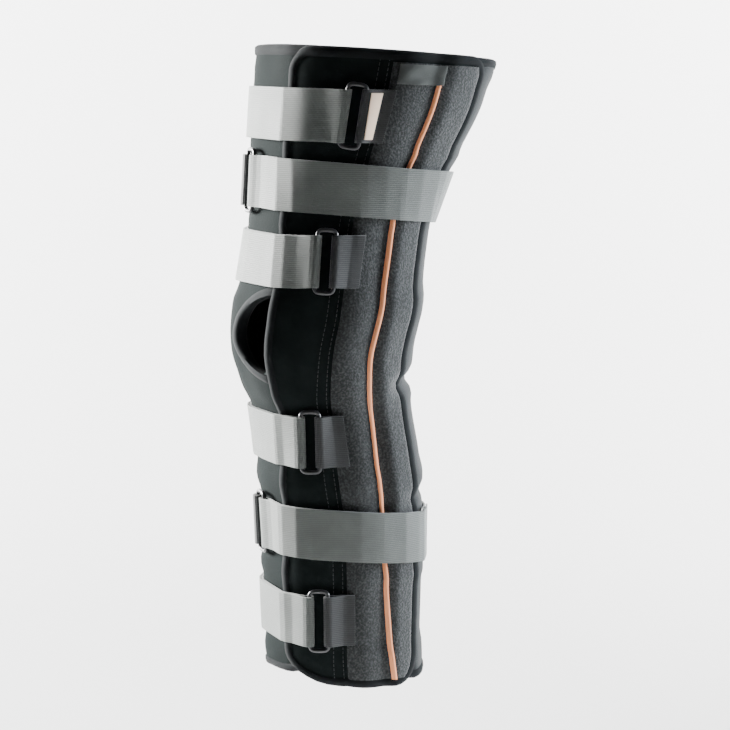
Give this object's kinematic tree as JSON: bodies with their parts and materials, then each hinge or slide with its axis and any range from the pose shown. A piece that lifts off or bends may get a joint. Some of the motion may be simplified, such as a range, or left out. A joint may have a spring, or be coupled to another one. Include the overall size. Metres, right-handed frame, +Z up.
{
  "type": "knee immobilizer",
  "caption": "Three-panel padded knee splint with a kneecap opening, closed round a slightly bent leg by wide webbing straps that turn through rings.",
  "frame": {"origin": "middle of the knee's space, on the leg's centre line", "axes": "+Z up along the leg, the front of the knee faces -Y, and the side whose front edge is on top faces +X"},
  "size_m": [0.1976, 0.2089, 0.503],
  "materials": {
    "foam_laminate": "black knit over foam, matt",
    "binding_tape": "black woven tape",
    "brushed_cover": "charcoal brushed loop pile",
    "orange_piping": "smooth orange piping",
    "flap_cloth": "plain grey woven cloth",
    "peach_label": "plain woven strip",
    "grey_webbing": "ribbed grey webbing",
    "black_webbing": "ribbed black webbing",
    "ring_plastic": "moulded black plastic, semi-gloss"
  },
  "bodies": {
    "root": {"back_panel": "foam_laminate", "side_panel_near": "foam_laminate", "side_panel_far": "foam_laminate", "binding_back": "binding_tape", "binding_near": "binding_tape", "binding_far": "binding_tape", "stay_pocket_near": "brushed_cover", "stay_pocket_far": "brushed_cover", "piping_near": "orange_piping", "piping_far": "orange_piping", "pocket_flap_near": "flap_cloth", "label_strip": "peach_label", "strap_1": "grey_webbing", "strap_2": "grey_webbing", "strap_3": "grey_webbing", "strap_4": "grey_webbing", "strap_5": "grey_webbing", "strap_6": "grey_webbing", "ring_tab_1": "black_webbing", "ring_tab_2": "black_webbing", "ring_tab_3": "black_webbing", "ring_tab_4": "black_webbing", "ring_tab_5": "black_webbing", "ring_tab_6": "black_webbing", "ring_1": "ring_plastic", "ring_2": "ring_plastic", "ring_3": "ring_plastic", "ring_4": "ring_plastic", "ring_5": "ring_plastic", "ring_6": "ring_plastic"}
  },
  "joints": []
}
